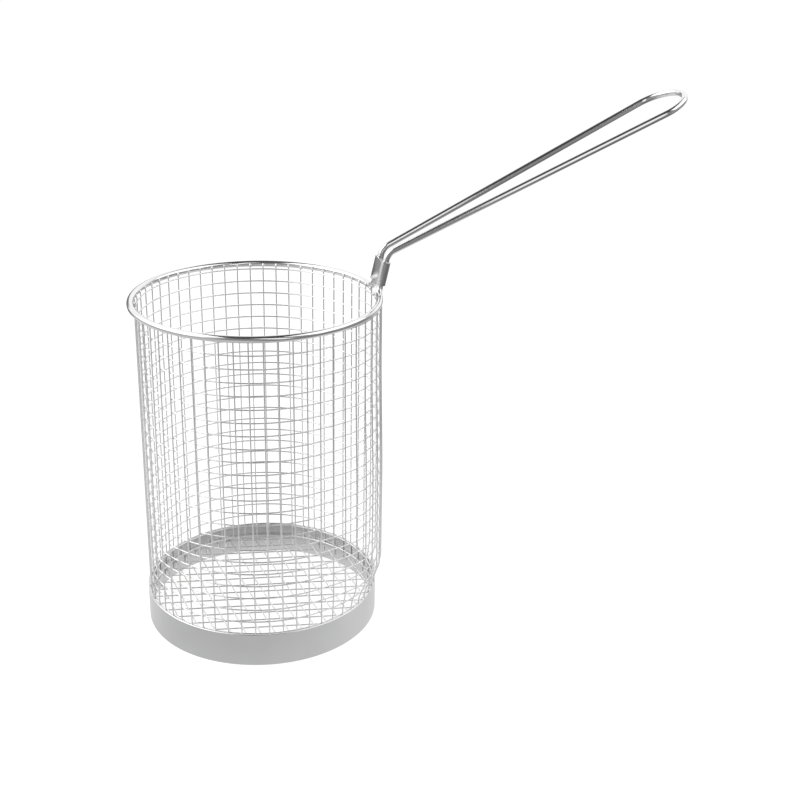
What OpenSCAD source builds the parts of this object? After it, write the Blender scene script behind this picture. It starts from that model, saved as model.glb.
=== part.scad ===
// Long-handled wire basket for cooking and draining, standing on its base band.
// Origin: centre of the base band's bottom edge. +Z is up and +X runs out along the handle.

/* [Basket] */
// Outside diameter across the rim wire
rim_od = 120; // [112:1:128]
// Height of the rim wire's centre above the table
rim_height = 165.4; // [150:0.2:180]
// Diameter of the rim and handle wire
frame_wire_d = 3.2; // [2.8:0.1:3.4]

/* [Mesh] */
// Diameter of the mesh wires
mesh_wire_d = 0.65; // [0.5:0.05:0.8]
// Number of upright wires round the side
upright_count = 54; // [48:2:60]
// Height of the lowest hoop's centre
low_hoop_z = 10; // [10:0.1:11]
// Height of the floor mesh, where its two layers touch
floor_z = 8.35; // [7:0.05:8.4]
// Spacing of the lower floor wires
lower_floor_pitch = 6.9; // [6.4:0.1:7.2]
// Spacing of the upper floor wires
upper_floor_pitch = 6.65; // [6.4:0.05:7.2]
// Direction of the lower floor wires, measured from the handle
lower_floor_angle = -8; // [-20:1:20]
// Direction of the upper floor wires, measured from the handle
upper_floor_angle = 98; // [80:1:110]

/* [Base band] */
// Height of the base band
band_h = 16.8; // [14:0.2:20]
// Thickness of the base band
band_t = 0.9; // [0.8:0.1:1.2]

/* [Handle] */
// Angle on the rim, each side of the handle, where the wire turns up
riser_angle = 8.6; // [8:0.1:9.5]
// Lean of the two risers out of the vertical
riser_lean = 12.8; // [5:0.2:16]
// Height of the upper bend above the rim, along the risers
riser_len = 19.9; // [19.4:0.1:22]
// Rise of the handle above the horizontal
handle_rise = 25.5; // [15:0.5:35]
// Splay of each handle rod
handle_splay = 4; // [2:0.1:5]
// Length of the handle from the upper bend to the tip of its loop
handle_len = 164; // [130:0.2:190]
// Inside radius of the upper bend, to the wire's centre line
upper_bend_r = 6.8; // [6:0.1:7.2]

/* [Clip] */
// Distance between the two rods in the clip
clip_pitch = 9.7; // [8.5:0.1:10]
// Length of the clip along the rods
clip_len = 11.7; // [9:0.1:11.8]
// Distance from the rim wire's centre to the clip, along the risers
clip_start = 4.3; // [4.2:0.1:4.6]
// Thickness of the clip's sheet
clip_t = 0.85; // [0.4:0.05:0.9]

/* [Hidden] */
$fn = 32;
ring_sides = 128;
bend_sides = 64;
hoop_wire_sides = 24;
cut_past = 1;
hoop_count = 25;
crimp_gap = 0.02;
bend_thinning = 0.04;
bend_overlap = 0.2;
top_hoop_gap = 0.25;
upright_top = 0.6;
lower_floor_shift = 5;
upper_floor_shift = 1;
shortest_floor_wire = 16;

frame_r = frame_wire_d / 2;
mesh_r = mesh_wire_d / 2;
rim_r = rim_od / 2 - frame_r;
mesh_outer_r = rim_r - frame_r;
upright_ring_r = mesh_outer_r - mesh_r;
hoop_ring_r = upright_ring_r - mesh_wire_d;
top_hoop_z = rim_height - frame_r - mesh_r - top_hoop_gap;
hoop_pitch = (top_hoop_z - low_hoop_z) / (hoop_count - 1);
upright_foot_z = floor_z + mesh_wire_d;
half_pitch = clip_pitch / 2;

// Riser: from the end of the rim arc the wire turns up into the line of the riser.
riser_dir = [sin(riser_lean), 0, cos(riser_lean)];
arc_end = [rim_r * cos(riser_angle), rim_r * sin(riser_angle), rim_height];
arc_end_dir = [sin(riser_angle), -cos(riser_angle), 0];
riser_reach = (arc_end[1] - half_pitch) / cos(riser_angle);
riser_base = arc_end + riser_reach * arc_end_dir;
lower_bend_r = riser_reach / tan(turn(arc_end_dir, riser_dir) / 2);
joint_at = clip_start + clip_len / 2;
riser_joint = riser_base + joint_at * riser_dir;

// Handle: a long hairpin in a sloping plane, closed by a round loop.
slope_dir = [cos(handle_rise), 0, sin(handle_rise)];
rod_dir = cos(handle_splay) * slope_dir + [0, sin(handle_splay), 0];
upper_corner = riser_base + riser_len * riser_dir;
upper_reach = upper_bend_r * tan(turn(riser_dir, rod_dir) / 2);
loop_r = (half_pitch * cos(handle_splay) + handle_len * sin(handle_splay)) / (1 + sin(handle_splay));
loop_centre = [upper_corner[0], 0, upper_corner[2]] + (handle_len - loop_r) * slope_dir;
loop_start = loop_centre + loop_r * ([0, cos(handle_splay), 0] - sin(handle_splay) * slope_dir);

function hoop_name(i) = str("hoop_", i < 10 ? "0" : "", i);
function unit(v) = v / norm(v);
function turn(from, to) = acos(unit(from) * unit(to));

// Puts its children at origin, with their X and Y along two square directions.
module place(origin, x_dir, y_dir) {
    z_dir = cross(x_dir, y_dir);
    multmatrix([
        [x_dir[0], y_dir[0], z_dir[0], origin[0]],
        [x_dir[1], y_dir[1], z_dir[1], origin[1]],
        [x_dir[2], y_dir[2], z_dir[2], origin[2]],
        [0, 0, 0, 1]
    ]) children();
}

// A straight length of frame wire between two points.
module rod(from, to) {
    along = unit(to - from);
    side = unit(cross([0, 1, 0], along));
    place(from, side, cross(along, side)) cylinder(h = norm(to - from), d = frame_wire_d);
}

// A curved stretch of frame wire. It is a hair thinner, and runs a little into what it joins.
module bent_stretch(radius, angle) {
    overlap_angle = bend_overlap / radius * 180 / PI;
    rotate([0, 0, -overlap_angle]) rotate_extrude(angle = angle + 2 * overlap_angle, $fn = bend_sides)
        translate([radius, 0]) circle(d = frame_wire_d - bend_thinning);
}

// A bend in the frame wire that starts at a point, in one direction, and ends in another.
module bend(start, from, to, radius) {
    inward = unit(to - (to * from) * from);
    place(start + radius * inward, -inward, from) bent_stretch(radius, turn(from, to));
}

// Draws its children, and again as their mirror image across the handle's plane.
module both_sides() {
    children();
    mirror([0, 1, 0]) children();
}

module base_band() {
    color("lightgray") difference() {
        cylinder(h = band_h, r = mesh_outer_r + band_t, $fn = ring_sides);
        translate([0, 0, -cut_past]) cylinder(h = band_h + 2 * cut_past, r = mesh_outer_r, $fn = ring_sides);
    }
}

// The rim ring is open at the handle, where both its ends turn up into the clip.
module rim_wire() {
    color("gainsboro") {
        rotate([0, 0, riser_angle]) rotate_extrude(angle = 360 - 2 * riser_angle, $fn = ring_sides)
            translate([rim_r, rim_height]) circle(d = frame_wire_d);
        both_sides() {
            bend(arc_end, arc_end_dir, riser_dir, lower_bend_r);
            rod(riser_base + riser_reach * riser_dir, riser_joint);
        }
    }
}

module handle_wire() {
    color("gainsboro") {
        both_sides() {
            rod(riser_joint, upper_corner - upper_reach * riser_dir);
            bend(upper_corner - upper_reach * riser_dir, riser_dir, rod_dir, upper_bend_r);
            rod(upper_corner + upper_reach * rod_dir, loop_start);
        }
        place(loop_centre, slope_dir, [0, 1, 0]) rotate([0, 0, -90 - handle_splay])
            bent_stretch(loop_r, 180 + 2 * handle_splay);
    }
}

// The section of the clip: two round ends at the rods, joined by flat faces.
module clip_core(radius, length) {
    translate([-radius, -half_pitch, 0]) cube([2 * radius, clip_pitch, length]);
    for (side = [-1, 1]) translate([0, side * half_pitch, 0]) cylinder(h = length, r = radius);
}

module handle_clip() {
    foot = [riser_base[0], 0, riser_base[2]] + clip_start * riser_dir;
    color("darkgray") place(foot, cross([0, 1, 0], riser_dir), [0, 1, 0]) difference() {
        clip_core(frame_r + crimp_gap + clip_t, clip_len);
        translate([0, 0, -cut_past]) clip_core(frame_r + crimp_gap, clip_len + 2 * cut_past);
    }
}

// Uprights stand between the floor mesh and the rim, in pairs each side of the handle's plane.
module side_uprights() {
    color("silver") for (i = [0 : upright_count - 1])
        rotate([0, 0, (i + 0.5) * 360 / upright_count])
        translate([upright_ring_r, 0, upright_foot_z])
        cylinder(h = rim_height + upright_top - upright_foot_z, d = mesh_wire_d);
}

// Hoops lie inside the uprights and are numbered from the bottom.
module hoop(i) {
    color("silver") translate([0, 0, low_hoop_z + (i - 1) * hoop_pitch])
        rotate_extrude($fn = ring_sides) translate([hoop_ring_r, 0]) circle(d = mesh_wire_d, $fn = hoop_wire_sides);
}

// One layer of the floor: parallel wires cut to reach the base band.
module floor_layer(pitch, shift, height) {
    wires_each_way = ceil(mesh_outer_r / pitch);
    for (i = [-wires_each_way : wires_each_way]) {
        offset_y = shift + i * pitch;
        room = mesh_outer_r ^ 2 - (abs(offset_y) + mesh_r) ^ 2;
        length = room > 0 ? 2 * sqrt(room) : 0;
        if (length > shortest_floor_wire) translate([-length / 2, offset_y, height])
            rotate([0, 90, 0]) cylinder(h = length, d = mesh_wire_d);
    }
}

module floor_wires_lower() {
    color("silver") rotate([0, 0, lower_floor_angle])
        floor_layer(lower_floor_pitch, lower_floor_shift, floor_z - mesh_r);
}

module floor_wires_upper() {
    color("silver") rotate([0, 0, upper_floor_angle])
        floor_layer(upper_floor_pitch, upper_floor_shift, floor_z + mesh_r);
}

base_band();
rim_wire();
handle_wire();
handle_clip();
side_uprights();
floor_wires_lower();
floor_wires_upper();
for (i = [1 : hoop_count]) hoop(i);
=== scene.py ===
"""The looks of the wire basket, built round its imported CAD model. Metres, +Z up, +X along the handle."""
import math

import bpy
import numpy as np
from mathutils import Matrix, Vector


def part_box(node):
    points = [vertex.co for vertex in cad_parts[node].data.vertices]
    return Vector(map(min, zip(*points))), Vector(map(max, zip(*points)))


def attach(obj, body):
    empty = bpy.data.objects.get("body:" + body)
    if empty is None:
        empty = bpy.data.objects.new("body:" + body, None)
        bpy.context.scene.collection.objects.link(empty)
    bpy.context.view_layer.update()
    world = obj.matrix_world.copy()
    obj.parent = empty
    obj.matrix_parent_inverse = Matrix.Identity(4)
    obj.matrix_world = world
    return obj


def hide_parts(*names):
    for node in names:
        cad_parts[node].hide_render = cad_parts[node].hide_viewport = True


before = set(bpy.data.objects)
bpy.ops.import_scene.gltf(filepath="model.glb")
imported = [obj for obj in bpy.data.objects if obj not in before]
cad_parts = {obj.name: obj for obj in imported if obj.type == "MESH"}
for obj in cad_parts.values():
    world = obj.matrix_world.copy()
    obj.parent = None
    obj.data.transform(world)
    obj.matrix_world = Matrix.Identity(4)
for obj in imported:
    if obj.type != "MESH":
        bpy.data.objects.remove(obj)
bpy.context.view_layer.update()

MM = 0.001
BODY = "root"
# The one source of every random draw. The order of the draws sets the shape of the weld lumps.
random_numbers = np.random.default_rng(7)

# --- sizes taken from the CAD frame -------------------------------------------------------------
FRAME_WIRE_R = 1.6 * MM
MESH_WIRE_R = 0.325 * MM
RIM_LOW, RIM_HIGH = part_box("rim_wire")
RIM_R = RIM_HIGH.y - FRAME_WIRE_R
RIM_Z = RIM_LOW.z + FRAME_WIRE_R
BAND_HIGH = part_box("base_band")[1]
BAND_R = BAND_HIGH.x
BAND_H = BAND_HIGH.z
BAND_T = 0.9 * MM
UPRIGHT_LOW, UPRIGHT_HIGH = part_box("side_uprights")
UPRIGHT_COUNT = 54
UPRIGHT_PITCH = 2 * math.pi / UPRIGHT_COUNT
UPRIGHT_R = RIM_R - FRAME_WIRE_R - MESH_WIRE_R
HOOP_R = UPRIGHT_R - 2 * MESH_WIRE_R
HOOP_NAMES = sorted(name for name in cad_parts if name.startswith("hoop_"))
HOOP_HEIGHTS = [sum(corner.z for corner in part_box(name)) / 2 for name in HOOP_NAMES]

# --- driving dimensions of the handle and clip, as in the CAD source ----------------------------
RISER_ANGLE = math.radians(8.6)
RISER_LEAN = math.radians(12.8)
RISER_LEN = 19.9 * MM
HANDLE_RISE = math.radians(25.5)
HANDLE_SPLAY = math.radians(4)
HANDLE_LEN = 164 * MM
UPPER_BEND_R = 6.8 * MM
HALF_PITCH = 4.85 * MM
CLIP_LEN = 11.7 * MM
CLIP_START = 4.3 * MM
CLIP_T = 0.85 * MM
CRIMP_GAP = 0.02 * MM

# --- eased edges, and the angle above which an edge stays crisp ---------------------------------
CLIP_SOFT_EDGE = 0.15 * MM
BAND_SOFT_EDGE = 0.18 * MM
SHARP_ANGLE = math.radians(35)

# --- how finely round shapes are divided --------------------------------------------------------
MESH_WIRE_SIDES = 10
FRAME_WIRE_SIDES = 32
BAND_SIDES = 256
CLIP_END_POINTS = 14
BEND_POINTS = 20
RISER_POINTS = 8
RIM_POINTS = 400
ROD_POINTS = 80
LOOP_POINTS = 90
FLOOR_WIRE_POINTS = 40
FLOOR_TURN_POINTS = 8
FLOOR_DROP_POINTS = 4
NUGGET_SIDES = 8
NUGGET_ROWS = 5
# Each point of a lump is pushed in or out by a factor between these two
NUGGET_LUMPS = (0.85, 1.12)

# --- floor mesh ---------------------------------------------------------------------------------
FLOOR_LAYERS = {
    # node: direction from the handle in degrees, spacing, shift of the middle wire
    "floor_wires_lower": (-8, 6.9 * MM, 5 * MM),
    "floor_wires_upper": (98, 6.65 * MM, 1 * MM),
}
SHORTEST_FLOOR_WIRE = 16 * MM

# --- camera -------------------------------------------------------------------------------------
CAMERA_AIM = Vector((66.2, -18.9, 115.0)) * MM
CAMERA_DISTANCE = 640.4 * MM
CAMERA_HEADING = math.radians(15.92)
CAMERA_TILT = math.radians(22.15)
CAMERA_ROLL = math.radians(1.10)
CAMERA_LENS = 59.28


# === mesh helpers ===============================================================================
def add_mesh(name, points, faces, material, slot):
    """A smooth-shaded mesh object that rides on the basket's one body."""
    mesh = bpy.data.meshes.new(name)
    mesh.from_pydata([tuple(p) for p in points], [], [tuple(f) for f in faces])
    mesh.polygons.foreach_set("use_smooth", [True] * len(mesh.polygons))
    mesh.update()
    piece = bpy.data.objects.new(name, mesh)
    bpy.context.scene.collection.objects.link(piece)
    mesh.materials.append(material)
    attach(piece, BODY)
    return piece


def unit(vector):
    vector = np.asarray(vector, float)
    return vector / np.linalg.norm(vector)


def side_vectors(path, closed):
    """The way ahead at each point of a path, and a way to the side carried along without twisting."""
    ahead = np.roll(path, -1, axis=0) - np.roll(path, 1, axis=0)
    if not closed:
        ahead[0] = path[1] - path[0]
        ahead[-1] = path[-1] - path[-2]
    ahead /= np.linalg.norm(ahead, axis=1)[:, None]
    helper = (0, 0, 1) if abs(ahead[0][2]) < 0.9 else (1, 0, 0)
    side = unit(np.cross(ahead[0], helper))
    sides = []
    for tangent in ahead:
        side = unit(side - tangent * np.dot(side, tangent))
        sides.append(side)
    return ahead, np.array(sides)


def tube_faces(rings, around, closed):
    """Faces between rings of points, each ring joined to the next, and the last to the first if closed."""
    faces = []
    for i in range(rings if closed else rings - 1):
        low, high = i * around, (i + 1) % rings * around
        for j in range(around):
            k = (j + 1) % around
            faces.append((low + j, low + k, high + k, high + j))
    return faces


def sweep(path, radius, closed=False, around=MESH_WIRE_SIDES):
    """Points and faces of a round wire along a path. radius is one number or one for each point."""
    path = np.asarray(path, float)
    ahead, sides = side_vectors(path, closed)
    others = np.cross(ahead, sides)
    radii = np.broadcast_to(radius, (len(path),))
    turns = np.linspace(0, 2 * math.pi, around, endpoint=False)
    rings = [
        path[i] + radii[i] * (np.outer(np.cos(turns), sides[i]) + np.outer(np.sin(turns), others[i]))
        for i in range(len(path))
    ]
    points = np.concatenate(rings)
    faces = tube_faces(len(path), around, closed)
    if not closed:
        faces.append(tuple(range(around))[::-1])
        faces.append(tuple(range((len(path) - 1) * around, len(path) * around)))
    return points, faces


def joined(parts):
    """Several sets of points and faces as one."""
    points, faces, start = [], [], 0
    for part_points, part_faces in parts:
        points.append(part_points)
        faces.extend(tuple(start + i for i in face) for face in part_faces)
        start += len(part_points)
    return np.concatenate(points), faces


def arc(centre, x_dir, y_dir, radius, start, end, count):
    """Points on an arc from angle start to angle end."""
    turns = np.linspace(start, end, count)[:, None]
    return np.asarray(centre) + radius * (np.cos(turns) * x_dir + np.sin(turns) * y_dir)


def bend(start, before, after, radius, count=BEND_POINTS):
    """Points on a bend that leaves start in one direction and ends in another."""
    inward = unit(after - np.dot(after, before) * before)
    angle = math.acos(np.dot(before, after))
    return arc(start + radius * inward, -inward, before, radius, 0, angle, count)


def line(start, end, count):
    return np.linspace(start, end, count)


def mirrored(path):
    """The path's mirror image across the handle's plane."""
    return path * np.array((1, -1, 1))


def soft_profile(inner, outer, length, soft):
    """The section of a thin ring with eased corners, as (radius, height) pairs."""
    top = length - soft
    return [
        (inner, soft), (inner + soft, 0), (outer - soft, 0), (outer, soft),
        (outer, top), (outer - soft, length), (inner + soft, length), (inner, top),
    ]


def sharpen(piece):
    """Keeps the edges crisp where faces meet at a clear angle."""
    piece.data.set_sharp_from_angle(angle=SHARP_ANGLE)


def nugget(centre, out, size, stretch, others=None):
    """A small lump of weld metal with its first axis along out. size is its radius before stretching.

    others are its second and third axes. Without them they are level and upright.
    """
    across, up = others or (unit(np.cross((0, 0, 1), out)), np.array((0, 0, 1)))
    axes = np.array((out, across, up)) * np.reshape(stretch, (3, 1))
    around, rows = NUGGET_SIDES, NUGGET_ROWS
    points = [-axes[2]]
    for row in range(1, rows):
        tilt = math.pi * row / rows
        for turn in np.linspace(0, 2 * math.pi, around, endpoint=False):
            level = math.cos(turn) * axes[0] + math.sin(turn) * axes[1]
            points.append(math.sin(tilt) * level - math.cos(tilt) * axes[2])
    points.append(axes[2])
    lumpy = np.array(points) * size * random_numbers.uniform(*NUGGET_LUMPS, (len(points), 1))
    last = len(points) - 1
    faces = []
    for j in range(around):
        k = (j + 1) % around
        faces.append((0, 1 + k, 1 + j))
        for row in range(rows - 2):
            low, high = 1 + row * around, 1 + (row + 1) * around
            faces.append((low + j, low + k, high + k, high + j))
        low = 1 + (rows - 2) * around
        faces.append((low + j, low + k, last))
    return centre + lumpy, faces


# === the wire frame: rim, risers and handle =====================================================
RISER_DIR = np.array((math.sin(RISER_LEAN), 0, math.cos(RISER_LEAN)))
SLOPE_DIR = np.array((math.cos(HANDLE_RISE), 0, math.sin(HANDLE_RISE)))
ACROSS = np.array((0.0, 1.0, 0.0))
ROD_DIR = math.cos(HANDLE_SPLAY) * SLOPE_DIR + math.sin(HANDLE_SPLAY) * ACROSS
ARC_END = np.array((RIM_R * math.cos(RISER_ANGLE), RIM_R * math.sin(RISER_ANGLE), RIM_Z))
ARC_END_DIR = np.array((math.sin(RISER_ANGLE), -math.cos(RISER_ANGLE), 0))
RISER_REACH = (ARC_END[1] - HALF_PITCH) / math.cos(RISER_ANGLE)
RISER_BASE = ARC_END + RISER_REACH * ARC_END_DIR
LOWER_BEND_R = RISER_REACH / math.tan(math.acos(np.dot(ARC_END_DIR, RISER_DIR)) / 2)
RISER_JOINT = RISER_BASE + (CLIP_START + CLIP_LEN / 2) * RISER_DIR
UPPER_CORNER = RISER_BASE + RISER_LEN * RISER_DIR
UPPER_REACH = UPPER_BEND_R * math.tan(math.acos(np.dot(RISER_DIR, ROD_DIR)) / 2)
LOOP_SIDE = HALF_PITCH * math.cos(HANDLE_SPLAY) + HANDLE_LEN * math.sin(HANDLE_SPLAY)
LOOP_R = LOOP_SIDE / (1 + math.sin(HANDLE_SPLAY))
LOOP_CENTRE = UPPER_CORNER * (1, 0, 1) + (HANDLE_LEN - LOOP_R) * SLOPE_DIR


def rim_path():
    """The rim wire, from inside the clip, round the mouth and back up into the clip."""
    foot = bend(ARC_END, ARC_END_DIR, RISER_DIR, LOWER_BEND_R)
    riser = line(foot[-1], RISER_JOINT, RISER_POINTS)[1:]
    one_end = np.concatenate([foot, riser])
    far_end = 2 * math.pi - RISER_ANGLE
    ring = arc((0, 0, RIM_Z), (1, 0, 0), (0, 1, 0), RIM_R, RISER_ANGLE, far_end, RIM_POINTS)
    return np.concatenate([one_end[::-1], ring[1:-1], mirrored(one_end)])


def handle_path():
    """The handle wire: up out of the clip, along one rod, round the loop and back."""
    bend_start = UPPER_CORNER - UPPER_REACH * RISER_DIR
    turn = bend(bend_start, RISER_DIR, ROD_DIR, UPPER_BEND_R)
    loop_half = math.pi / 2 + HANDLE_SPLAY
    loop = arc(LOOP_CENTRE, SLOPE_DIR, ACROSS, LOOP_R, loop_half, -loop_half, LOOP_POINTS)
    rod = line(turn[-1], loop[0], ROD_POINTS)[1:-1]
    one_side = np.concatenate([line(RISER_JOINT, bend_start, RISER_POINTS)[:-1], turn, rod])
    return np.concatenate([one_side, loop, mirrored(one_side)[::-1]])


def add_frame_wire(name, path, node, material):
    points, faces = sweep(path, FRAME_WIRE_R, around=FRAME_WIRE_SIDES)
    piece = add_mesh(name, points, faces, material, "polished_wire")
    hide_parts(node)


# === the clip ===================================================================================
# The solder that fills the clip's mouth: its depth below the top edge, its size and its stretches.
SOLDER_DEPTH = 1.1 * MM
SOLDER_R = 1.75 * MM
SOLDER_STRETCH = (0.93, 2.1, 0.55)


def clip_outline(radius):
    """The clip's section, as (out, across) pairs: one half circle round each rod."""
    half_turn = np.linspace(-math.pi / 2, math.pi / 2, CLIP_END_POINTS)
    right = [(radius * math.sin(t), HALF_PITCH + radius * math.cos(t)) for t in half_turn]
    left = [(-radius * math.sin(t), -HALF_PITCH - radius * math.cos(t)) for t in half_turn]
    return right + left


def add_clip(material):
    """A tube of sheet with soft edges, crimped round both rods, with solder in its mouth."""
    foot = RISER_BASE * (1, 0, 1) + CLIP_START * RISER_DIR
    out_dir = np.cross(ACROSS, RISER_DIR)
    inner_r = FRAME_WIRE_R + CRIMP_GAP
    profile = soft_profile(inner_r, inner_r + CLIP_T, CLIP_LEN, CLIP_SOFT_EDGE)
    points = []
    for radius, height in profile:
        for out, across in clip_outline(radius):
            points.append(foot + out * out_dir + across * ACROSS + height * RISER_DIR)
    tube = (np.array(points), tube_faces(len(profile), 2 * CLIP_END_POINTS, True))
    mouth = foot + (CLIP_LEN - SOLDER_DEPTH) * RISER_DIR
    solder = nugget(mouth, out_dir, SOLDER_R, SOLDER_STRETCH, (ACROSS, RISER_DIR))
    piece = add_mesh("crimped_clip", *joined([tube, solder]), material, "satin_sheet")
    sharpen(piece)
    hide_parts("handle_clip")


# === the base band ==============================================================================
def add_band(material):
    """The plain ring of sheet, with eased edges."""
    profile = soft_profile(BAND_R - BAND_T, BAND_R, BAND_H, BAND_SOFT_EDGE)
    turns = np.linspace(0, 2 * math.pi, BAND_SIDES, endpoint=False)
    points = []
    for radius, height in profile:
        points.extend((radius * math.cos(t), radius * math.sin(t), height) for t in turns)
    faces = tube_faces(len(profile), BAND_SIDES, True)
    piece = add_mesh("foot_band", points, faces, material, "satin_sheet")
    sharpen(piece)
    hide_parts("base_band")


# === the mesh ===================================================================================
WELD_REACH = 0.65 * MM
WELD_SINK = 0.05 * MM
# The longest stretch of wire without a ring of points
UPRIGHT_STEP = 2.2 * MM
HOOP_STEP = 1.3 * MM
# The swelling near the handle: its depth, its middle and reach round the side, how broad it is at its
# full depth, the height over the band where it gets there, and between which heights it falls to the
# share of its depth that is left at the rim
BULGE_DEPTH = 4.1 * MM
BULGE_MIDDLE = math.radians(-29)
BULGE_REACH = math.radians(44)
BULGE_BREADTH = 1.3
BULGE_FOOT = 14 * MM
BULGE_FALLS = (70 * MM, 145 * MM)
BULGE_AT_RIM = 0.7
# Weld lumps. A size, a height and a shift are drawn between two numbers, in millimetres.
HOOP_WELD_SIZE = (0.4, 0.52)
HOOP_WELD_STRETCH = (0.75, 1, 1)
RIM_WELD_SIZE = (0.55, 0.75)
RIM_WELD_STRETCH = (0.75, 1.1, 1.25)
RIM_WELD_HEIGHT = (-0.7, 0.2)
RIM_WELD_SHIFT = (-0.25, 0.25)
RIM_WELD_OUT = 0.1 * MM
RIM_WELD_BY_CLIP = 1.3
FLOOR_TURN_R = 1.2 * MM
FLOOR_TURN_DOWN = 3.2 * MM


def upright_angles():
    return [(i + 0.5) * UPRIGHT_PITCH for i in range(UPRIGHT_COUNT)]


def ease(amount):
    """Clips to 0..1 with a smooth start and end."""
    amount = np.clip(amount, 0, 1)
    return amount * amount * (3 - 2 * amount)


def bulge(angle, height):
    """How far the mesh swells out of round, on the side near the handle."""
    away = np.abs((np.asarray(angle) - BULGE_MIDDLE + math.pi) % (2 * math.pi) - math.pi)
    around = ease(BULGE_BREADTH * (1 - away / BULGE_REACH))
    rising = ease((np.asarray(height) - BAND_H) / BULGE_FOOT)
    low, high = BULGE_FALLS
    falling = 1 - (1 - BULGE_AT_RIM) * ease((np.asarray(height) - low) / (high - low))
    return BULGE_DEPTH * around * rising * falling


def weld_dip(distance):
    """How far a wire is pressed in at this distance from a weld."""
    return WELD_SINK * ease(1 - np.abs(distance) / WELD_REACH)


def stations(crossings, start, end, step):
    """Places along a wire: some round every crossing, and others at most a step apart."""
    places = {start, end}
    for crossing in crossings:
        for offset in (-1, -0.5, 0, 0.5, 1):
            place = crossing + offset * WELD_REACH
            if start < place < end:
                places.add(place)
    places = sorted(places)
    filled = [places[0]]
    for place in places[1:]:
        gap = place - filled[-1]
        extra = int(gap // step)
        before = filled[-1]
        filled.extend(before + gap * (n + 1) / (extra + 1) for n in range(extra))
        filled.append(place)
    return np.array(filled)


def round_points(angles, radii, heights):
    """Points from angles, radii and heights, any of which may be one number."""
    angles, radii, heights = np.broadcast_arrays(angles, radii, heights)
    return np.stack((radii * np.cos(angles), radii * np.sin(angles), heights), axis=-1)


def nearest_distance(places, crossings):
    return np.abs(places[:, None] - np.asarray(crossings)[None, :]).min(axis=1)


def add_uprights(material):
    heights = stations(HOOP_HEIGHTS, UPRIGHT_LOW.z, UPRIGHT_HIGH.z, UPRIGHT_STEP)
    radii = UPRIGHT_R - weld_dip(nearest_distance(heights, HOOP_HEIGHTS))
    wires = [
        sweep(round_points(angle, radii + bulge(angle, heights), heights), MESH_WIRE_R)
        for angle in upright_angles()
    ]
    piece = add_mesh("upright_wires", *joined(wires), material, "mesh_wire")
    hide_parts("side_uprights")


def add_hoops(material):
    crossings = [angle * HOOP_R for angle in upright_angles()]
    along = stations(crossings, 0, 2 * math.pi * HOOP_R, HOOP_STEP)[:-1]
    angles = along / HOOP_R
    radii = HOOP_R + weld_dip(nearest_distance(along, crossings))
    for name, height in zip(HOOP_NAMES, HOOP_HEIGHTS):
        path = round_points(angles, radii + bulge(angles, height), height)
        hoop = sweep(path, MESH_WIRE_R, closed=True)
        parts = [hoop] + hoop_welds(height)
        piece = add_mesh("ring_" + name[-2:], *joined(parts), material, "mesh_wire")
        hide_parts(name)


def hoop_welds(height):
    """A small flattened lump at each crossing, between the hoop and the upright."""
    welds = []
    for angle in upright_angles():
        radius = HOOP_R + MESH_WIRE_R + bulge(angle, height)
        size = random_numbers.uniform(*HOOP_WELD_SIZE) * MM
        out = round_points(angle, 1.0, 0)
        welds.append(nugget(round_points(angle, radius, height), out, size, HOOP_WELD_STRETCH))
    return welds


def add_rim_welds(material):
    """Lumps round the inside of the rim, one for each upright and bigger at the clip."""
    welds = []
    for angle in upright_angles():
        near_clip = abs((angle + math.pi) % (2 * math.pi) - math.pi) < 2 * UPRIGHT_PITCH
        size = random_numbers.uniform(*RIM_WELD_SIZE) * MM * (RIM_WELD_BY_CLIP if near_clip else 1)
        height = RIM_Z + random_numbers.uniform(*RIM_WELD_HEIGHT) * MM
        shift = random_numbers.uniform(*RIM_WELD_SHIFT) * MM / UPRIGHT_R
        out = round_points(angle, 1.0, 0)
        centre = round_points(angle + shift, UPRIGHT_R + RIM_WELD_OUT, height)
        welds.append(nugget(centre, out, size, RIM_WELD_STRETCH))
    add_mesh("rim_weld_beads", *joined(welds), material, "mesh_wire")


def floor_wires(angle, pitch, shift, height):
    """One layer of parallel floor wires, each cut to reach the band, as (start, end) points."""
    along = np.array((math.cos(angle), math.sin(angle), 0))
    beside = np.array((-math.sin(angle), math.cos(angle), 0))
    reach = BAND_R - BAND_T
    each_way = math.ceil(reach / pitch)
    wires = []
    for i in range(-each_way, each_way + 1):
        offset = shift + i * pitch
        room = reach ** 2 - (abs(offset) + MESH_WIRE_R) ** 2
        if room <= (SHORTEST_FLOOR_WIRE / 2) ** 2:
            continue
        middle = offset * beside + np.array((0, 0, height))
        half = math.sqrt(room) * along
        wires.append((middle - half, middle + half))
    return wires


def turned_down(start, end):
    """A floor wire whose two ends turn down along the inside of the band."""
    along = unit(end - start)
    down = np.array((0.0, 0.0, -1.0))
    halves = []
    for tip, outward in ((start, -along), (end, along)):
        corner = tip - MESH_WIRE_R * outward
        turn = bend(corner - FLOOR_TURN_R * outward, outward, down, FLOOR_TURN_R, FLOOR_TURN_POINTS)
        drop = line(turn[-1], turn[-1] + FLOOR_TURN_DOWN * down, FLOOR_DROP_POINTS)[1:]
        halves.append(np.concatenate([turn, drop]))
    level = line(halves[0][0], halves[1][0], FLOOR_WIRE_POINTS)[1:-1]
    return np.concatenate([halves[0][::-1], level, halves[1]])


def add_floor(material):
    for node, (angle, pitch, shift) in FLOOR_LAYERS.items():
        low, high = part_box(node)
        wires = floor_wires(math.radians(angle), pitch, shift, (low.z + high.z) / 2)
        parts = [sweep(turned_down(start, end), MESH_WIRE_R) for start, end in wires]
        piece = add_mesh(node.replace("wires", "mesh"), *joined(parts), material, "mesh_wire")
        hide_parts(node)


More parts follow.
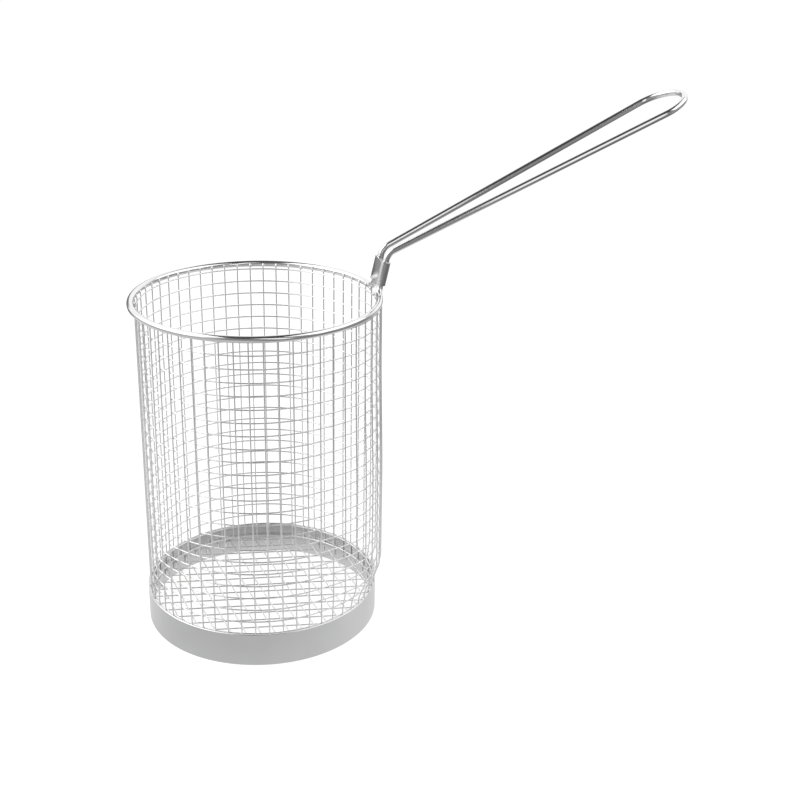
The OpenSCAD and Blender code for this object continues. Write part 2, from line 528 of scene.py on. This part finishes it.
# === materials ==================================================================================
# The middle range of the noise, where nearly all of it lies
NOISE_MIDDLE = (0.3, 0.7)
NOISE_DETAIL = 3.0
CLOUD_SCALE = 60
BUMP_STRENGTH = 0.25
EVEN = (1, 1, 1)


class Nodes:
    """Short names for the few node kinds that the materials and the stage use."""

    def __init__(self, tree):
        self.tree = tree

    def add(self, kind, **values):
        node = self.tree.nodes.new(kind)
        for key, value in values.items():
            if key in node.inputs:
                node.inputs[key].default_value = value
            else:
                setattr(node, key, value)
        return node

    def link(self, source, target):
        self.tree.links.new(source, target)

    def stretched_noise(self, stretch, scale):
        """Noise in the object's own space, drawn out along an axis by a small stretch factor."""
        place = self.add("ShaderNodeTexCoord")
        squeeze = self.add("ShaderNodeMapping")
        squeeze.inputs["Scale"].default_value = stretch
        noise = self.add("ShaderNodeTexNoise", Scale=scale, Detail=NOISE_DETAIL)
        self.link(place.outputs["Object"], squeeze.inputs["Vector"])
        self.link(squeeze.outputs["Vector"], noise.inputs["Vector"])
        return noise.outputs["Fac"]

    def along(self, place, direction):
        """How far a place lies along a fixed direction."""
        dot = self.add("ShaderNodeVectorMath", operation="DOT_PRODUCT")
        dot.inputs[1].default_value = direction
        self.link(place, dot.inputs[0])
        return dot.outputs["Value"]

    def distance(self, place, centre):
        apart = self.add("ShaderNodeVectorMath", operation="DISTANCE")
        apart.inputs[1].default_value = centre
        self.link(place, apart.inputs[0])
        return apart.outputs["Value"]

    def ranged(self, value, low, high, at_low, at_high):
        """A smooth step from at_low, where the value is low, to at_high, where it is high."""
        ramp = self.add("ShaderNodeMapRange", interpolation_type="SMOOTHSTEP")
        keys = ("From Min", "From Max", "To Min", "To Max")
        for key, number in zip(keys, (low, high, at_low, at_high)):
            ramp.inputs[key].default_value = number
        self.link(value, ramp.inputs["Value"])
        return ramp.outputs["Result"]

    def times(self, one, other):
        product = self.add("ShaderNodeMath", operation="MULTIPLY")
        self.link(one, product.inputs[0])
        self.link(other, product.inputs[1])
        return product.outputs[0]

    def spread(self, factor, low, high):
        """Maps a factor from its middle range to low..high."""
        ramp = self.add("ShaderNodeMapRange")
        ramp.inputs["From Min"].default_value = NOISE_MIDDLE[0]
        ramp.inputs["From Max"].default_value = NOISE_MIDDLE[1]
        ramp.inputs["To Min"].default_value = low
        ramp.inputs["To Max"].default_value = high
        self.link(factor, ramp.inputs["Value"])
        return ramp.outputs["Result"]

    def colour_between(self, factor, one, other):
        mix = self.add("ShaderNodeMix")
        mix.data_type = "RGBA"
        mix.inputs["A"].default_value = (*one, 1)
        mix.inputs["B"].default_value = (*other, 1)
        self.link(self.spread(factor, 0, 1), mix.inputs["Factor"])
        self.link(mix.outputs["Result"], self.shader.inputs["Base Color"])

    def bump(self, factor, strength, depth):
        bump = self.add("ShaderNodeBump", Strength=strength, Distance=depth)
        self.link(factor, bump.inputs["Height"])
        self.link(bump.outputs["Normal"], self.shader.inputs["Normal"])


def new_material(name):
    material = bpy.data.materials.new(name)
    material.use_nodes = True
    nodes = Nodes(material.node_tree)
    nodes.shader = material.node_tree.nodes["Principled BSDF"]
    return material, nodes


def steel(name, dark, light, rough, fine_scale, bump_depth, fine_stretch=EVEN):
    """Bare steel that clouds slowly between two greys, with a fine grain in its roughness and height."""
    material, nodes = new_material(name)
    nodes.shader.inputs["Metallic"].default_value = 1.0
    cloud = nodes.stretched_noise(EVEN, CLOUD_SCALE)
    fine = nodes.stretched_noise(fine_stretch, fine_scale)
    nodes.colour_between(cloud, dark, light)
    nodes.link(nodes.spread(fine, *rough), nodes.shader.inputs["Roughness"])
    nodes.bump(fine, BUMP_STRENGTH, bump_depth)
    return material


# === light, floor and camera ====================================================================
# Headings are in degrees, counted from the camera's line of sight: 0 is away from it and 90 to its right.
# The floor: half its width, and its own light and its grey as the camera sees it
FLOOR_HALF = 6.0
FLOOR_GLOW = 0.92
FLOOR_SHADE = 0.2
# The floor in reflections: brightness behind and before the basket, and where one turns into the other
FLOOR_BEHIND = 0.76
FLOOR_BEFORE = 0.59
FLOOR_CHANGES = (190, 0.01, 0.08)  # heading, from, to
# In reflections it is also dimmer close under the basket, which is the basket's painted shadow, and far
# from the basket, each between two distances
UNDER_BASKET_SHADOW_R = (0.032, 0.055)
UNDER_BASKET_SHADOW = 0.5
FLOOR_FAR_R = (0.6, 0.9)
FLOOR_FAR = 0.5
DARK_PATCHES = (
    # heading, distance, dark out to, light from, share left
    (-27, 0.72, 0.24, 0.42, 0.1),
    (77, 0.51, 0.20, 0.34, 0.3),
    (135, 0.54, 0.28, 0.42, 0.38),
)
# The room in reflections
ROOM_BEHIND = 1.1
ROOM_BEFORE = 0.25
ROOM_CHANGES = (-45, -0.45, 0.15)  # heading, from, to
ROOM_OVERHEAD = 0.09
ROOM_OVERHEAD_FROM = (0.6, 0.85)
DARK_DOORWAY = (-25, (0.18, 0.34), 0.15)  # heading, dark out to and light from, share left
SOFTBOXES = {
    # name: heading, height and roll in degrees, distance, width, height, radiance
    "softbox_left": (-92, 45, 0, 1.3, 1.7, 1.25, 1.5),
    "softbox_right": (90, 45, 0, 1.3, 1.5, 1.14, 1.3),
    "softbox_strip": (157, 27, 20, 1.3, 0.32, 1.4, 0.85),
}


def aimed(heading, lift=0.0):
    """The direction at a heading in degrees, lifted out of the level by an angle in radians."""
    turn = CAMERA_HEADING + math.radians(heading)
    level = math.cos(lift)
    return Vector((math.sin(turn) * level, math.cos(turn) * level, math.sin(lift)))


def seen_or_reflected(tree, seen, reflected, surface):
    """Shows one shader to the camera and another one in reflections."""
    path = tree.nodes.new("ShaderNodeLightPath")
    mix = tree.nodes.new("ShaderNodeMixShader")
    tree.links.new(path.outputs["Is Camera Ray"], mix.inputs[0])
    tree.links.new(reflected, mix.inputs[1])
    tree.links.new(seen, mix.inputs[2])
    tree.links.new(mix.outputs[0], surface)


def add_floor_plane():
    """A light table. The camera sees it white, and reflections see a pattern of greys laid out on it."""
    mesh = bpy.data.meshes.new("studio_floor")
    corners = [(x * FLOOR_HALF, y * FLOOR_HALF, 0) for x, y in ((-1, -1), (1, -1), (1, 1), (-1, 1))]
    mesh.from_pydata(corners, [], [(0, 1, 2, 3)])
    plane = bpy.data.objects.new("studio_floor", mesh)
    bpy.context.scene.collection.objects.link(plane)
    material, nodes = new_material("studio_white")
    nodes.shader.inputs["Roughness"].default_value = 0.9
    nodes.shader.inputs["Specular IOR Level"].default_value = 0.0
    nodes.shader.inputs["Base Color"].default_value = (FLOOR_SHADE, FLOOR_SHADE, FLOOR_SHADE, 1)
    nodes.shader.inputs["Emission Color"].default_value = (1, 1, 1, 1)
    nodes.shader.inputs["Emission Strength"].default_value = FLOOR_GLOW
    tree = nodes.tree
    place = nodes.add("ShaderNodeTexCoord").outputs["Object"]
    heading, start, end = FLOOR_CHANGES
    light = nodes.ranged(nodes.along(place, aimed(heading)), start, end, FLOOR_BEHIND, FLOOR_BEFORE)
    reach = nodes.distance(place, (0, 0, 0))
    # Painted shadow: the reflected floor is dimmed under the basket, where the band and mesh would shade it
    light = nodes.times(light, nodes.ranged(reach, *UNDER_BASKET_SHADOW_R, UNDER_BASKET_SHADOW, 1))
    light = nodes.times(light, nodes.ranged(reach, *FLOOR_FAR_R, 1, FLOOR_FAR))
    for heading, away, dark_to, light_from, share in DARK_PATCHES:
        apart = nodes.distance(place, away * aimed(heading))
        light = nodes.times(light, nodes.ranged(apart, dark_to, light_from, share, 1))
    grey = nodes.add("ShaderNodeEmission", Color=(1, 1, 1, 1))
    nodes.link(light, grey.inputs["Strength"])
    surface = tree.nodes["Material Output"].inputs["Surface"]
    seen_or_reflected(tree, nodes.shader.outputs[0], grey.outputs[0], surface)
    mesh.materials.append(material)


def add_softboxes():
    """Soft rectangular lights round the basket, which the camera doesn't see."""
    middle = Vector((0, 0, RIM_Z / 2))
    for name, (heading, height, roll, distance, width, tall, radiance) in SOFTBOXES.items():
        toward = aimed(heading, math.radians(height))
        data = bpy.data.lights.new(name, "AREA")
        data.shape = "RECTANGLE"
        data.size = width
        data.size_y = tall
        data.energy = radiance * math.pi * width * tall
        lamp = bpy.data.objects.new(name, data)
        bpy.context.scene.collection.objects.link(lamp)
        lamp.location = middle + distance * toward
        facing = toward.to_track_quat("Z", "Y").to_matrix()
        lamp.rotation_euler = (facing @ Matrix.Rotation(math.radians(roll), 3, "Z")).to_euler()
        lamp.visible_camera = False


def add_world():
    """White to look at. In reflections it is bright behind the basket, apart from one dark doorway,
    and dim overhead and before it.
    """
    world = bpy.data.worlds.new("studio")
    bpy.context.scene.world = world
    world.use_nodes = True
    tree = world.node_tree
    nodes = Nodes(tree)
    place = nodes.add("ShaderNodeTexCoord").outputs["Generated"]
    heading, start, end = ROOM_CHANGES
    behind = nodes.ranged(nodes.along(place, aimed(heading)), start, end, ROOM_BEFORE, ROOM_BEHIND)
    low = nodes.ranged(nodes.along(place, Vector((0, 0, 1))), *ROOM_OVERHEAD_FROM, 1, ROOM_OVERHEAD)
    heading, reach, share = DARK_DOORWAY
    doorway = nodes.ranged(nodes.distance(place, aimed(heading)), *reach, share, 1)
    room = tree.nodes["Background"]
    room.inputs["Color"].default_value = (1, 1, 1, 1)
    nodes.link(nodes.times(nodes.times(behind, low), doorway), room.inputs["Strength"])
    white = nodes.add("ShaderNodeBackground", Color=(1, 1, 1, 1))
    seen_or_reflected(tree, white.outputs[0], room.outputs[0], tree.nodes["World Output"].inputs["Surface"])


def add_camera():
    """The camera at the photograph's viewing angle."""
    look = aimed(0, -CAMERA_TILT)
    level = Vector((math.cos(CAMERA_HEADING), -math.sin(CAMERA_HEADING), 0))
    above = level.cross(look)
    right = math.cos(CAMERA_ROLL) * level + math.sin(CAMERA_ROLL) * above
    up = math.cos(CAMERA_ROLL) * above - math.sin(CAMERA_ROLL) * level
    data = bpy.data.cameras.new("camera")
    data.lens = CAMERA_LENS
    data.clip_start = 0.01
    camera = bpy.data.objects.new("camera", data)
    bpy.context.scene.collection.objects.link(camera)
    turn = Matrix((right, up, -look)).transposed()
    camera.matrix_world = Matrix.Translation(CAMERA_AIM - CAMERA_DISTANCE * look) @ turn.to_4x4()
    bpy.context.scene.camera = camera


add_camera()
polished = steel(
    "polished_wire_steel", dark=(0.78, 0.78, 0.78), light=(0.84, 0.84, 0.84),
    rough=(0.08, 0.14), fine_scale=900, bump_depth=0.005 * MM,
)
satin = steel(
    "satin_sheet_steel", dark=(0.71, 0.71, 0.715), light=(0.74, 0.74, 0.745),
    rough=(0.22, 0.24), fine_scale=300, bump_depth=0.0005 * MM, fine_stretch=(1, 1, 0.2),
)
crimped = steel(
    "crimped_sheet_steel", dark=(0.66, 0.66, 0.665), light=(0.72, 0.72, 0.725),
    rough=(0.14, 0.2), fine_scale=1200, bump_depth=0.002 * MM,
)
drawn = steel(
    "drawn_mesh_steel", dark=(0.86, 0.86, 0.86), light=(0.91, 0.91, 0.91),
    rough=(0.16, 0.24), fine_scale=1500, bump_depth=0.005 * MM,
)
add_frame_wire("rim_ring", rim_path(), "rim_wire", polished)
add_frame_wire("handle_hairpin", handle_path(), "handle_wire", polished)
add_clip(crimped)
add_band(satin)
add_uprights(drawn)
add_hoops(drawn)
add_rim_welds(drawn)
add_floor(drawn)
add_floor_plane()
add_world()
add_softboxes()
bpy.context.scene.view_settings.view_transform = "Standard"
